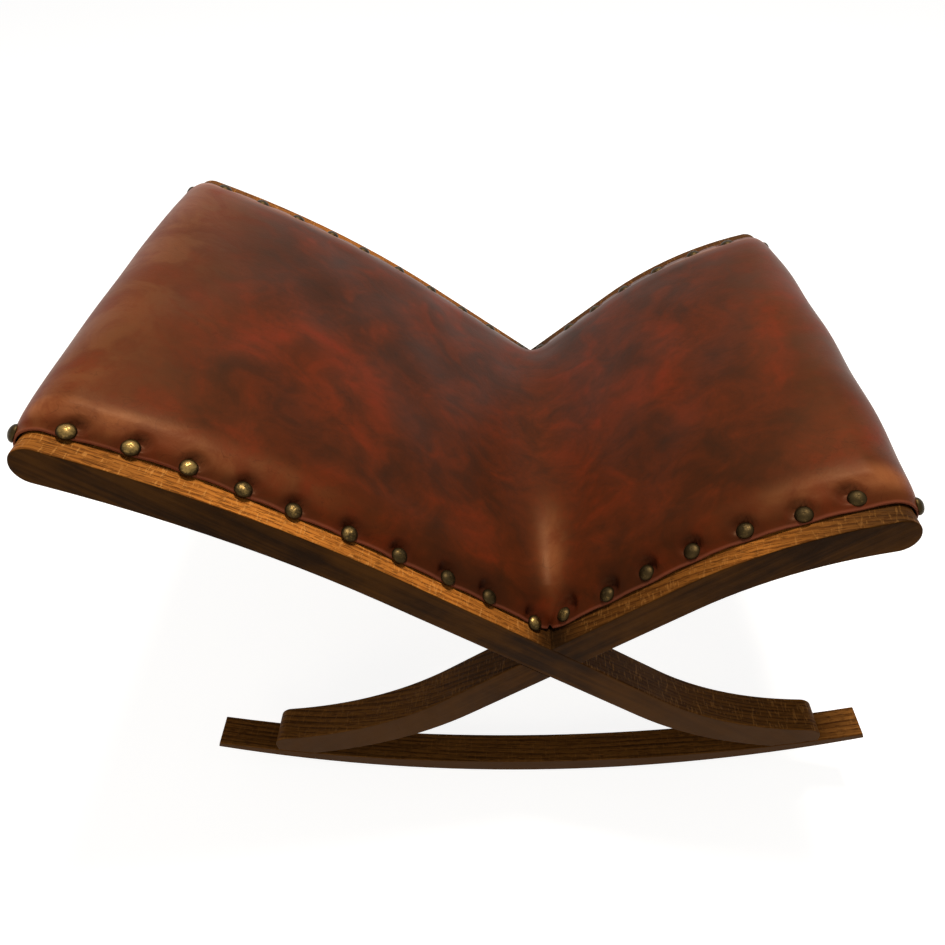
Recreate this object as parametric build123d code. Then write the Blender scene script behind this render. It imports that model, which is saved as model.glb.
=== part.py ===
"""Rocking footstool: two X-frames on rockers that carry a V-shaped leather seat.

Millimetres. +X runs to the short arm, +Y from the front frame to the back one, +Z up.
Outlines are drawn with the rockers level and their lowest point at X = 0. At the end the whole
stool rolls to where it balances, with its origin on the floor under the middle of its length.
"""
from build123d import *
from dataclasses import dataclass
from math import atan2, copysign, cos, degrees, radians, sin, tan
import os

# Frames
frame_depth = 375.0       # outer face to outer face, front to back
stock = 27.0              # square section of the crossed bars
lap_height = 155.5        # middle of the crossing, above the floor
lap_offset = 12.4         # the crossing stands this far from the rockers' lowest point
nose_radius = 13.0        # full round at the tip of an arm
toe_radius = 11.0         # long round on top of a foot's tip
toe_under_radius = 3.5    # short round under it
arris = 1.0               # eased edges of the bars

long_slope = 39.3         # degrees
long_arm_straight = 132.0
long_arm_bend_radius = 840.0
long_arm_length = 362.5
long_leg_straight = 97.0
long_leg_bend_radius = 214.0
long_leg_length = 244.0

short_slope = 38.4
short_arm_straight = 109.0
short_arm_bend_radius = 279.0
short_arm_length = 251.0
short_leg_straight = 87.0
short_leg_bend_radius = 271.0
short_leg_length = 254.0

# Rockers
rocker_radius = 740.0     # of the curve that rolls on the floor
rocker_length = 515.0
rocker_middle = 14.6      # thickness
rocker_tip = 5.8
rocker_width = 24.0       # flush with the bars on the outer face
rocker_arris = 0.8

# Rails
end_rail_width = 34.0
centre_rail_width = 26.0
centre_rail_drop = 12.0   # below the middle of the crossing
end_tenon_length = 14.0
end_tenon_width = 18.0
end_tenon_thickness = 11.0
centre_tenon_length = 20.5  # through one half of the lap and into the other
centre_tenon_width = 13.0
centre_tenon_height = 15.0

# Rocker screws
screw_radius = 1.8
screw_length = 24.0
screw_head_radius = 3.6
screw_head_height = 2.2
screw_slot_width = 0.8
screw_slot_depth = 0.8
screw_recess = 1.6        # the head stays this far inside the rocker
screw_clearance = 0.1
screw_from_toe = 17.0
screw_pitch = 18.0

# Webbing and canvas, listed from the wood upwards
web_width = 50.0
web_thickness = 1.2
web_gap = 0.1
web_inset = 22.0          # from the frame's outer face to the cut end
canvas_thickness = 0.5
canvas_lift = 1.8
long_web_shares = (0.17, 0.38, 0.59, 0.80)
short_web_shares = (0.25, 0.50, 0.75)
run_web_places = (-95.0, 0.0, 95.0)

# Stuffing and leather
leather = 1.6
soft_gap = 0.3
pad_gap = 0.5             # between the stuffing and the leather
lip = 12.4                # bare wood outside the leather's edge
crown = 18.0              # leather above the arms, at mid seat
end_crown = 7.0           # leather beyond the noses
valley_radius = 26.0      # at mid seat
underlap = 14.0           # leather turned in under an end rail
canvas_turn = 1.5
# From the leather's edge to mid seat: place, height over the arms, reach past the noses and
# roundness of the valley.
place_shares = (0.0, 0.017, 0.034, 0.050, 0.067, 0.115, 0.20, 0.35, 0.62, 1.0)
crown_shares = (0.10, 0.167, 0.235, 0.262, 0.300, 0.52, 0.74, 0.89, 0.975, 1.0)
end_shares = (0.257, 0.43, 0.605, 0.67, 0.74, 0.83, 0.90, 0.95, 0.985, 1.0)
valley_shares = (0.15, 0.16, 0.17, 0.18, 0.20, 0.30, 0.48, 0.70, 0.92, 1.0)
pad_rows = slice(4, None)  # the stuffing leaves out the thin edge

# Nails and tacks
nail_radius = 5.6
nail_dome = 3.8
nail_shank_radius = 0.9
nail_shank_length = 11.0
nail_bite = 0.6           # underside of the head below the leather's surface
nail_lean = 14.0          # degrees outwards, square to the leather's rising edge
tip_nail_inset = 18.0     # from the frame's outer face
tip_nail_swing = 12.0     # degrees above the nose's middle
# Along each arm: the nails' shares of its length, and their distances from the outer face
long_nail_shares = (0.073, 0.184, 0.277, 0.380, 0.477, 0.578, 0.664, 0.753, 0.842, 0.934)
long_nail_insets = (14.0, 16.6, 16.2, 15.8, 15.4, 15.4, 16.6, 18.0, 18.6, 17.0)
short_nail_shares = (0.105, 0.250, 0.376, 0.505, 0.636, 0.767, 0.883)
short_nail_insets = (19.8, 18.5, 19.8, 19.4, 19.0, 17.6, 19.8)
tack_head_radius = 2.6
tack_head_height = 0.4
tack_shank_radius = 0.7
tack_shank_length = 8.0
tack_pitch = 30.0
web_tack_inset = 2.7      # from a webbing's cut end
end_tack_count = 7

# Densities, to find how the stool stands, in kilograms per cubic metre
wood_density = 600.0
density = {
    "leather": 900.0, "stuffing": 300.0, "canvas": 300.0, "tacks": 7850.0, "screws": 7850.0,
    "nails": 8500.0, "webbing": 300.0}

half = stock / 2
half_depth = frame_depth / 2
rocker_half = rocker_length / 2
web_top = web_gap + web_thickness


# One half of a crossed bar, in the plane of its frame
@dataclass
class Branch:
    """A straight run out of the lap, then one bend towards level, up to the tip."""
    side: int       # -1 to the left, +1 to the right
    rise: int       # +1 for an arm, -1 for a leg
    slope: float
    straight: float
    radius: float
    length: float

    def heading(self, s):
        """Slope of the centreline at s, in radians."""
        return radians(self.slope) - max(s - self.straight, 0) / self.radius

    def at(self, s, t=0.0):
        """Point at s along the bar and t off its centreline, towards the outside of the bend."""
        start, now = radians(self.slope), self.heading(s)
        run = min(s, self.straight)
        x = run * cos(start) + self.radius * sin(start) - (self.radius + t) * sin(now)
        z = run * sin(start) - self.radius * cos(start) + (self.radius + t) * cos(now)
        return Vector(lap_offset + self.side * x, lap_height + self.rise * z)

    def along(self, s):
        """Unit vector towards the tip."""
        return Vector(self.side * cos(self.heading(s)), self.rise * sin(self.heading(s)))

    def outward(self, s):
        """Unit vector across the bar, towards the outside of the bend."""
        return Vector(-self.side * sin(self.heading(s)), self.rise * cos(self.heading(s)))

    def beside(self, s, along, across):
        """Point measured off the centreline at s, square to it and along it."""
        return self.at(s) + self.along(s) * along + self.outward(s) * across

    def rounding(self, s, radius, side):
        """Quarter round from the outer (+1) or inner (-1) edge at s to the tip."""
        rim = side * (half - radius)
        turn = radius * cos(radians(45))
        return ThreePointArc(self.beside(s, 0, side * half),
                             self.beside(s, turn, rim + side * turn),
                             self.beside(s, radius, rim))

    def line(self, s0, s1, t):
        """Edges of the line that runs from s0 to s1 at t off the centreline."""
        edges = []
        if s0 < self.straight:
            edges.append(Line(self.at(s0, t), self.at(min(s1, self.straight), t)))
        if s1 > self.straight:
            s0 = max(s0, self.straight)
            edges.append(ThreePointArc(self.at(s0, t), self.at((s0 + s1) / 2, t), self.at(s1, t)))
        return edges

    def strip(self, s0, s1, t0, t1):
        """Face between two places along the bar and two distances off its centreline."""
        return make_face([
            *self.line(s0, s1, t0), Line(self.at(s1, t0), self.at(s1, t1)),
            *self.line(s0, s1, t1), Line(self.at(s0, t1), self.at(s0, t0))])


long_arm = Branch(-1, 1, long_slope, long_arm_straight, long_arm_bend_radius, long_arm_length)
long_leg = Branch(1, -1, long_slope, long_leg_straight, long_leg_bend_radius, long_leg_length)
short_arm = Branch(1, 1, short_slope, short_arm_straight, short_arm_bend_radius,
                   short_arm_length)
short_leg = Branch(-1, -1, short_slope, short_leg_straight, short_leg_bend_radius,
                   short_leg_length)
arms = (long_arm, short_arm)
valley_rate = tan(radians((long_slope + short_slope) / 2))


def slab(face, near, far):
    """Solid between two distances behind the front face of the stool."""
    return extrude(Plane.XZ.offset(half_depth - far) * face, far - near)


def back_of(solid):
    """The back frame's twin of a front piece."""
    return mirror(solid, about=Plane.XZ)


def valley_point(t):
    """Where the lines at t off the two arms' centrelines meet."""
    a, b = radians(long_slope), radians(short_slope)
    share = t / sin(a + b)
    return Vector(lap_offset + share * (cos(b) - cos(a)), lap_height + share * (sin(a) + sin(b)))


# Rockers: a crescent that is thickest in the middle
end_sine = rocker_half / rocker_radius
end_cosine = (1 - end_sine ** 2) ** 0.5
rocker_end = Vector(rocker_half, rocker_radius * (1 - end_cosine))
rocker_end_top = rocker_end + Vector(-end_sine, end_cosine) * rocker_tip
rocker_top_arc = ThreePointArc(
    Vector(-rocker_end_top.X, rocker_end_top.Y), Vector(0, rocker_middle), rocker_end_top)
rocker_face = make_face([
    ThreePointArc(Vector(-rocker_end.X, rocker_end.Y), Vector(0, 0), rocker_end),
    Line(rocker_end, rocker_end_top),
    rocker_top_arc,
    Line(rocker_top_arc @ 0, Vector(-rocker_end.X, rocker_end.Y))])
front_rocker = slab(rocker_face, 0, rocker_width)
front_rocker = fillet(front_rocker.edges(), rocker_arris)

# Everything under the rockers' top curve: the feet are scribed to it
below_rocker_top = make_face([
    rocker_top_arc,
    Line(rocker_end_top, Vector(rocker_end_top.X, -rocker_length)),
    Line(Vector(rocker_end_top.X, -rocker_length), Vector(-rocker_end_top.X, -rocker_length)),
    Line(Vector(-rocker_end_top.X, -rocker_length), rocker_top_arc @ 0)])


# Crossed bars
def bar_face(arm, leg):
    """Front outline of a bar, with a round nose and a toe scribed to the rocker."""
    nose_s, toe_s = arm.length - nose_radius, leg.length - toe_radius
    nose_top, nose_under = arm.rounding(nose_s, nose_radius, 1), arm.rounding(nose_s, nose_radius, -1)
    toe_top = leg.rounding(toe_s, toe_radius, -1)
    toe_under = leg.rounding(leg.length - toe_under_radius, toe_under_radius, 1)
    face = make_face([
        nose_top,
        *arm.line(arm.straight, nose_s, half),
        Line(arm.at(arm.straight, half), leg.at(leg.straight, -half)),
        *leg.line(leg.straight, toe_s, -half),
        toe_top,
        Line(toe_top @ 1, toe_under @ 1),
        toe_under,
        *leg.line(leg.straight, leg.length - toe_under_radius, half),
        Line(leg.at(leg.straight, half), arm.at(arm.straight, -half)),
        *arm.line(arm.straight, nose_s, -half),
        nose_under,
        Line(nose_under @ 1, nose_top @ 1)])
    return face - below_rocker_top


long_face = bar_face(long_arm, long_leg)
short_face = bar_face(short_arm, short_leg)


def eased(bar):
    """Bar with its front and back outlines eased."""
    flat = bar.faces().filter_by(Axis.Y)
    return fillet(flat.edges(), arris)


# Cross-halving joint: each bar keeps one half of its depth where the other passes
long_bar = eased(slab(long_face, 0, stock)) - slab(short_face, half, stock)
short_bar = eased(slab(short_face, 0, stock)) - slab(long_face, 0, half)


# Rails, tenoned into the bars' inner faces
def end_rail(arm):
    """Rail between two noses, and the tenon that runs through its length."""
    top = half - web_top
    nose_s = arm.length - nose_radius
    upper, under = arm.rounding(nose_s, nose_radius, 1), arm.rounding(nose_s, nose_radius, -1)
    body = arm.strip(arm.length - end_rail_width, nose_s, -half, half)
    body += make_face([upper, under, Line(upper @ 1, under @ 1), Line(upper @ 0, under @ 0)])
    body -= arm.strip(arm.length - end_rail_width - stock, arm.length + stock, top, stock)
    middle = arm.length - end_rail_width / 2
    tenon = arm.strip(middle - end_tenon_width / 2, middle + end_tenon_width / 2,
                      -end_tenon_thickness / 2, end_tenon_thickness / 2)
    reach = stock - end_tenon_length
    return slab(body, stock, frame_depth - stock), slab(tenon, reach, frame_depth - reach)


def centre_rail_parts():
    """Rail under the valley. Its top is planed to a V that carries on the arms' top edges."""
    top = half - web_top
    wall = centre_rail_width / 2
    left = long_arm.at((wall + top * sin(radians(long_slope))) / cos(radians(long_slope)), top)
    right = short_arm.at((wall + top * sin(radians(short_slope))) / cos(radians(short_slope)), top)
    low = lap_height - centre_rail_drop
    points = [left, valley_point(top), right, Vector(right.X, low), Vector(left.X, low)]
    body = make_face(Polyline(*points, close=True))
    tenon = Pos(lap_offset, lap_height) * Rectangle(centre_tenon_width, centre_tenon_height)
    reach = stock - centre_tenon_length
    return slab(body, stock, frame_depth - stock), slab(tenon, reach, frame_depth - reach)


long_rail_body, long_rail_tenon = end_rail(long_arm)
short_rail_body, short_rail_tenon = end_rail(short_arm)
centre_body, centre_tenon = centre_rail_parts()
front_long_member = long_bar - long_rail_tenon - centre_tenon
front_short_member = short_bar - short_rail_tenon - centre_tenon
parts = {
    "front_long_member": front_long_member,
    "front_short_member": front_short_member,
    "back_long_member": back_of(front_long_member),
    "back_short_member": back_of(front_short_member),
    "long_end_rail": long_rail_body + long_rail_tenon,
    "short_end_rail": short_rail_body + short_rail_tenon,
    "centre_rail": centre_body + centre_tenon,
}

# Rocker screws, square to the curve that rolls, with their heads sunk in it
screw_profile = make_face(Polyline(
    (0, 0), (screw_head_radius, 0), (screw_radius, screw_head_height),
    (screw_radius, screw_length - screw_head_radius), (0, screw_length), close=True))
screw = revolve(Plane.XZ * screw_profile, Axis.Z)
screw -= Pos(0, 0, screw_slot_depth / 2) * Box(
    2 * screw_head_radius, screw_slot_width, screw_slot_depth)
screw_hole = Pos(0, 0, -screw_recess) * Cylinder(
    screw_head_radius + screw_clearance, screw_recess,
    align=(Align.CENTER, Align.CENTER, Align.MIN))
screw_hole += revolve(Plane.XZ * screw_profile, Axis.Z)
front_rocker_screws = []
for leg in (long_leg, short_leg):
    toe = leg.side * leg.at(leg.length).X
    for reach in (toe - screw_from_toe, toe - screw_from_toe - screw_pitch):
        sine = leg.side * reach / rocker_radius
        cosine = (1 - sine ** 2) ** 0.5
        lift = rocker_radius - screw_recess
        place = Plane(
            origin=(lift * sine, -half_depth + rocker_width / 2, rocker_radius - lift * cosine),
            x_dir=(cosine, 0, sine), z_dir=(-sine, 0, cosine)).location
        front_rocker_screws.append(place * screw)
        front_rocker -= place * screw_hole
parts["front_rocker"] = front_rocker
parts["back_rocker"] = back_of(front_rocker)
parts["front_rocker_screws"] = front_rocker_screws
parts["back_rocker_screws"] = [back_of(one) for one in front_rocker_screws]


# Webbing
def cross_web(arm, shares):
    """Bands from frame to frame, over the arms' top edges."""
    bands = []
    for share in shares:
        middle = share * arm.length
        band = arm.strip(middle - web_width / 2, middle + web_width / 2,
                         half + web_gap, half + web_top)
        bands.append(slab(band, web_inset, frame_depth - web_inset))
    return bands


def run_web(arm):
    """Bands from the centre rail to the end rail, under the cross bands."""
    start = half * valley_rate + web_thickness
    band = arm.strip(start, arm.length - half, half - web_thickness, half)
    middles = [half_depth + place for place in run_web_places]
    return [slab(band, middle - web_width / 2, middle + web_width / 2) for middle in middles]


parts["long_cross_webbing"] = cross_web(long_arm, long_web_shares)
parts["short_cross_webbing"] = cross_web(short_arm, short_web_shares)
parts["long_run_webbing"] = run_web(long_arm)
parts["short_run_webbing"] = run_web(short_arm)


# Soft seat: every layer is the same line round the noses and through the valley
def round_tip(arm, s, rise, drop):
    """Quarter rounds of a layer over and under a nose, from s on top to a place underneath."""
    big, small = half + rise, half + drop
    turn = cos(radians(45))
    s_under = s + big - small
    tip = arm.beside(s, big, 0)
    over = ThreePointArc(arm.at(s, big), arm.beside(s, big * turn, big * turn), tip)
    under = ThreePointArc(tip, arm.beside(s_under, small * turn, -small * turn),
                          arm.at(s_under, -small))
    return over, under, s_under


def seat_line(rise, reach, drop, radius, turned):
    """Edges of one layer, from under the long arm's nose to under the short one's, and its ends."""
    s_valley = (half + rise + radius) * valley_rate
    edges, ends = [], []
    for arm in arms:
        s = arm.length + reach - half - rise
        over, under, s_under = round_tip(arm, s, rise, drop)
        edges += [*arm.line(s_valley, s, half + rise), over]
        if turned:
            edges += [under, *arm.line(s_under - underlap, s_under, -half - drop)]
        ends.append(arm.at(s_under - underlap, -half - drop) if turned else over @ 1)
    floor, centre = valley_point(half + rise), valley_point(half + rise + radius)
    lowest = centre + (floor - centre).normalized() * radius
    edges.append(ThreePointArc(long_arm.at(s_valley, half + rise), lowest,
                               short_arm.at(s_valley, half + rise)))
    return edges, ends


def layer_face(top, bottom, turned=False):
    """Section of a layer between two seat lines."""
    upper, upper_ends = seat_line(*top, turned)
    lower, lower_ends = seat_line(*bottom, turned)
    return make_face(upper + lower + [Line(a, b) for a, b in zip(upper_ends, lower_ends)])


half_seat = half_depth - lip
stations = [
    (share * half_seat, up * crown, out * end_crown, r * valley_radius)
    for share, up, out, r in zip(place_shares, crown_shares, end_shares, valley_shares)]
leather_under = web_gap + leather
canvas_line = (canvas_lift, canvas_lift, canvas_lift, canvas_turn)
canvas_top = (canvas_lift + canvas_thickness,) * 3 + (canvas_turn - canvas_thickness,)
pad_floor = canvas_lift + canvas_thickness + soft_gap


def leather_section(up, out, radius):
    top = (up, out, leather_under, radius)
    bottom = (up - leather, out - leather, web_gap, radius + leather)
    return layer_face(top, bottom, turned=True)


def pad_section(up, out, radius):
    drop = leather + pad_gap
    top = (up - drop, out - drop, pad_floor, radius + drop)
    bottom = (pad_floor, pad_floor, pad_floor, canvas_turn)
    return layer_face(top, bottom)


def lofted(section, rows):
    """Loft from the front of the seat to the back, the same on both sides of the middle."""
    places = [(-half_seat + row[0], row[1:]) for row in rows]
    places += [(-y, sizes) for y, sizes in reversed(places[:-1])]
    return loft([Plane.XZ.offset(-y) * section(*sizes) for y, sizes in places])


parts["canvas"] = slab(layer_face(canvas_top, canvas_line), web_inset, frame_depth - web_inset)
parts["stuffing"] = lofted(pad_section, stations[pad_rows])
parts["leather_cover"] = lofted(leather_section, stations)


# Nails and tacks
def pin(head_radius, head, shank_radius, shank_length):
    """Domed head over Z = 0 and a pointed shank under it."""
    profile = make_face([
        Line((0, head), (0, -shank_length)),
        Line((0, -shank_length), (shank_radius, -shank_length + 2 * shank_radius)),
        Line((shank_radius, -shank_length + 2 * shank_radius), (shank_radius, 0)),
        Line((shank_radius, 0), (head_radius, 0)),
        RadiusArc((head_radius, 0), (0, head), -(head_radius ** 2 + head ** 2) / (2 * head))])
    return revolve(Plane.XZ * profile, Axis.Z)


nail = pin(nail_radius, nail_dome, nail_shank_radius, nail_shank_length)
tack = pin(tack_head_radius, tack_head_height, tack_shank_radius, tack_shank_length)


def pinned(spot, out, y, lean=0.0):
    """Location of a pin's head at a spot in the XZ plane, leaning out of it towards the near face."""
    tip = copysign(sin(radians(lean)), y)
    rise = cos(radians(lean))
    return Plane(origin=(spot.X, y, spot.Y), x_dir=(out.Y, 0, -out.X),
                 z_dir=(out.X * rise, tip, out.Y * rise)).location


def on_edge(arm, s, lift, y, side=1, lean=0.0):
    """Location on an arm's or rail's edge; side -1 is its underside."""
    return pinned(arm.at(s, side * (half + lift)), arm.outward(s) * side, y, lean)


def on_tip(arm, lift, y):
    """Location on the round of a nose, a little above its middle."""
    s = arm.length - half
    swing = radians(tip_nail_swing)
    out = arm.along(s) * cos(swing) + arm.outward(s) * sin(swing)
    return pinned(arm.at(s) + out * (half + lift), out, y, nail_lean)


def head_lift(inset):
    """Height of a nail's head over the wood: a little under the leather's surface."""
    place = (inset - lip) / half_seat
    for i in range(1, len(place_shares)):
        if place <= place_shares[i]:
            step = (place - place_shares[i - 1]) / (place_shares[i] - place_shares[i - 1])
            share = crown_shares[i - 1] + (crown_shares[i] - crown_shares[i - 1]) * step
            return share * crown - nail_bite


front_seat_nails = [
    on_edge(arm, share * arm.length, head_lift(inset), inset - half_depth, lean=nail_lean) * nail
    for arm, shares, insets in ((long_arm, long_nail_shares, long_nail_insets),
                                (short_arm, short_nail_shares, short_nail_insets))
    for share, inset in zip(shares, insets)]
parts["front_seat_nails"] = front_seat_nails
parts["back_seat_nails"] = [back_of(one) for one in front_seat_nails]
tip_y = half_depth - tip_nail_inset
parts["tip_nails"] = [
    on_tip(arm, head_lift(tip_nail_inset), y) * nail for arm in arms for y in (-tip_y, tip_y)]

web_tack_y = half_depth - web_inset - web_tack_inset
parts["webbing_tacks"] = [
    on_edge(arm, share * arm.length + step, web_top, y) * tack
    for arm, shares in ((long_arm, long_web_shares), (short_arm, short_web_shares))
    for share in shares
    for step in (-tack_pitch / 2, tack_pitch / 2)
    for y in (-web_tack_y, web_tack_y)]
parts["run_webbing_tacks"] = [
    on_edge(arm, s, 0, place + step) * tack
    for arm in arms
    for s in (half * valley_rate + 2 * tack_head_radius, arm.length - half - tack_head_radius)
    for place in run_web_places
    for step in (-tack_pitch / 2, tack_pitch / 2)]

inner_depth = frame_depth - 2 * stock
end_tack_s = [arm.length - half - underlap / 2 for arm in arms]
parts["under_tacks"] = [
    on_edge(arm, s, leather_under, (i / (end_tack_count - 1) - 0.5) * (inner_depth - tack_pitch), -1)
    * tack
    for arm, s in zip(arms, end_tack_s)
    for i in range(end_tack_count)]

# Stand the stool: it rolls on its rockers until its centre of mass is over the line where it
# touches the floor, then the origin goes under the middle of its length
def weighed(name, shape):
    """Mass and moment of one part."""
    fits = [value for key, value in density.items() if key in name] + [wood_density]
    mass, moment = 0, Vector(0, 0, 0)
    for solid in shape if isinstance(shape, list) else [shape]:
        mass += fits[0] * solid.volume
        moment += fits[0] * solid.volume * solid.center(CenterOf.MASS)
    return mass, moment


weights = [weighed(name, shape) for name, shape in parts.items()]
balance = sum((moment for _, moment in weights), Vector(0, 0, 0)) / sum(m for m, _ in weights)
tilt = degrees(atan2(balance.X, rocker_radius - balance.Z))
roll = Pos(0, 0, rocker_radius) * Rot(0, tilt, 0) * Pos(0, 0, -rocker_radius)
left = min((roll * one).bounding_box().min.X for one in parts["tip_nails"])
right = (roll * front_rocker).bounding_box().max.X
stand = Pos(-(left + right) / 2, 0, 0) * roll

os.makedirs("parts", exist_ok=True)
for name, shape in parts.items():
    solids = [stand * one for one in (shape if isinstance(shape, list) else [shape])]
    export_step(solids[0] if len(solids) == 1 else Compound(children=solids), f"parts/{name}.step")
print(f"{len(parts)} parts, rolled {tilt:.3f} degrees, moved {-(left + right) / 2:.2f} mm along X")
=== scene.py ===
"""A rocking footstool: two wooden X-frames on rockers under a V-shaped leather seat.

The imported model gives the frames, rails, rockers, screws and tacks. The soft layers and the domed
nails are made here. Shapes are worked out in millimetres with the rockers level, as the stool was
drawn, and then rolled to where it balances.
"""
from collections import namedtuple
from math import cos, pi, radians, sin, tan

import bpy
import numpy as np
from mathutils import Matrix


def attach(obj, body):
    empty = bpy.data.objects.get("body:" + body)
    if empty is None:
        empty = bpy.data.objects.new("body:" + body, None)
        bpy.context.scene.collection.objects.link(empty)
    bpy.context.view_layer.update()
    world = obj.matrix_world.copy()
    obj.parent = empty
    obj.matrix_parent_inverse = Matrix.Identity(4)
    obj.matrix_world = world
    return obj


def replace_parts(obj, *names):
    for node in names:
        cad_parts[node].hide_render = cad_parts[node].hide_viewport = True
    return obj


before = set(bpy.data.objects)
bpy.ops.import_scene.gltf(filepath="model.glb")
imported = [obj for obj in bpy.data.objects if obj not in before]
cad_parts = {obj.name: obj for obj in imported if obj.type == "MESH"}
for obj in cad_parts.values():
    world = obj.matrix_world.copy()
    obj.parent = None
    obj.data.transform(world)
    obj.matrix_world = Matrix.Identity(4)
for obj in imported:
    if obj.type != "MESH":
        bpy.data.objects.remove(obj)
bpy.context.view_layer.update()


# ---- The view: a camera at the photograph's place, a pale floor and soft lamps ----
# The camera stands in front of the stool and above it, and looks down about 42 degrees.
# One lamp hangs over the back of the stool, and a weaker one stands behind the camera.
camera_place = (-0.00849, -0.4949, 0.61622)
camera_right = (0.99962, 0.01805, -0.02130)
camera_up = (0.00369, 0.67075, 0.74170)
camera_back = (0.02768, -0.74148, 0.67043)
camera_lens = 28.95
camera_sensor = 36.0

scene = bpy.context.scene
scene.view_settings.view_transform = "Standard"

camera_data = bpy.data.cameras.new("camera")
camera_data.lens = camera_lens
camera_data.sensor_width = camera_sensor
camera_data.clip_start, camera_data.clip_end = 0.05, 50.0
camera = bpy.data.objects.new("camera", camera_data)
turned = Matrix((camera_right, camera_up, camera_back)).transposed().to_4x4()
camera.matrix_world = Matrix.Translation(camera_place) @ turned
scene.collection.objects.link(camera)
scene.camera = camera


def add(tree, kind, inputs=None, out=0, **settings):
    """Adds a shader node and returns one of its outputs.

    inputs maps a socket's name or number to a value or to another node's output.
    """
    made = tree.nodes.new("ShaderNode" + kind)
    for name, value in settings.items():
        setattr(made, name, value)
    for name, value in (inputs or {}).items():
        if isinstance(value, bpy.types.NodeSocket):
            tree.links.new(value, made.inputs[name])
        else:
            made.inputs[name].default_value = value
    return made.outputs[out] if made.outputs else made


def maths(tree, operation, *values):
    """One step of arithmetic on numbers or outputs."""
    return add(tree, "Math", dict(enumerate(values)), operation=operation)


def seen_directly(tree):
    """1 for rays from the camera, a mirror or glass, and 0 for light that falls on the object."""
    path = add(tree, "LightPath").node.outputs
    mirror = maths(tree, "MAXIMUM", path["Is Glossy Ray"], path["Is Transmission Ray"])
    return maths(tree, "MAXIMUM", path["Is Camera Ray"], mirror)


def plain(red, green, blue):
    """Linear colour from the numbers of an ordinary colour picker, 0 to 255."""
    shares = [value / 255 for value in (red, green, blue)]
    return (*[s / 12.92 if s <= 0.04045 else ((s + 0.055) / 1.055) ** 2.4 for s in shares], 1.0)


def blank(name, kind="materials"):
    """A material or a world with an empty tree."""
    made = getattr(bpy.data, kind).new(name)
    made.use_nodes = True
    made.node_tree.nodes.clear()
    return made, made.node_tree


white = plain(255, 255, 255)
ambient_light = 0.22       # the world's light on the object, where 1 is white
world, tree = blank("studio", "worlds")
level = add(tree, "MapRange", {
    "Value": seen_directly(tree), "To Min": ambient_light, "To Max": 1.0})
sky = add(tree, "Background", {"Color": white, "Strength": level})
add(tree, "OutputWorld", {"Surface": sky})
scene.world = world

floor_reach = 12.0
floor_colour = plain(186, 184, 180)
floor_glow = 0.86          # white that the camera sees in it
pale, tree = blank("pale_floor")
matt = add(tree, "BsdfDiffuse", {"Color": floor_colour})
strength = maths(tree, "MULTIPLY", seen_directly(tree), floor_glow)
glow = add(tree, "Emission", {"Color": white, "Strength": strength})
add(tree, "OutputMaterial", {"Surface": add(tree, "AddShader", {0: matt, 1: glow})})
floor_mesh = bpy.data.meshes.new("floor")
floor_mesh.from_pydata(
    [(-floor_reach, -floor_reach, 0), (floor_reach, -floor_reach, 0),
     (floor_reach, floor_reach, 0), (-floor_reach, floor_reach, 0)], [], [(0, 1, 2, 3)])
floor_mesh.materials.append(pale)
floor = bpy.data.objects.new("floor", floor_mesh)
scene.collection.objects.link(floor)


def lamp(name, place, target, size, power, colour):
    """A square soft lamp at a place, turned to a target."""
    data = bpy.data.lights.new(name, "AREA")
    data.shape, data.size, data.energy, data.color = "SQUARE", size, power, colour
    made = bpy.data.objects.new(name, data)
    back = Matrix.Translation(place).translation - Matrix.Translation(target).translation
    turn = back.to_track_quat("Z", "Y").to_matrix().to_4x4()
    made.matrix_world = Matrix.Translation(place) @ turn
    scene.collection.objects.link(made)


seat_middle = (0.0, 0.0, 0.27)
lamp("high_lamp", (0.14, 0.32, 1.75), seat_middle, size=0.34, power=32.0, colour=(1.0, 0.94, 0.86))
lamp("front_lamp", (-0.7, -1.8, 0.7), seat_middle, size=1.2, power=9.0, colour=(1.0, 0.90, 0.76))


# ---- Crossed bars: four S-curved bars of stained hardwood, halved into each other ----
# Each is sawn from a straight-grained board, so the grain runs straight while the bar bends.
# The stain is dark on the faces and worn to orange-brown on the tops beside the seat.
def group(name, inputs, outputs):
    """An empty node group with float or vector inputs, and the two nodes inside its ends."""
    made = bpy.data.node_groups.new(name, "ShaderNodeTree")
    for label, kind in inputs.items():
        made.interface.new_socket(label, in_out="INPUT", socket_type="NodeSocket" + kind)
    for label, kind in outputs.items():
        made.interface.new_socket(label, in_out="OUTPUT", socket_type="NodeSocket" + kind)
    return made, made.nodes.new("NodeGroupInput").outputs, made.nodes.new("NodeGroupOutput").inputs


def placed(tree, effect, inputs):
    """Places a node group in a material and returns its outputs."""
    return add(tree, "Group", inputs, node_tree=effect).node.outputs


def put_out(effect, results, values):
    """Links the values that a node group puts out."""
    for label, value in values.items():
        effect.links.new(value, results[label])


def times(tree, first, *others):
    """Product of numbers or outputs."""
    for value in others:
        first = maths(tree, "MULTIPLY", first, value)
    return first


def summed(tree, *parts):
    """Sum of outputs, each times its share. The parts are pairs of an output and a share."""
    total = 0.0
    for value, share in parts:
        total = maths(tree, "MULTIPLY_ADD", value, share, total)
    return total


def laid(tree, vector, start, *turn):
    """Coordinates moved by start and turned about X, Y and Z, in degrees."""
    return add(tree, "Mapping", {
        "Vector": vector, "Location": start, "Rotation": [radians(angle) for angle in turn]})


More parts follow.
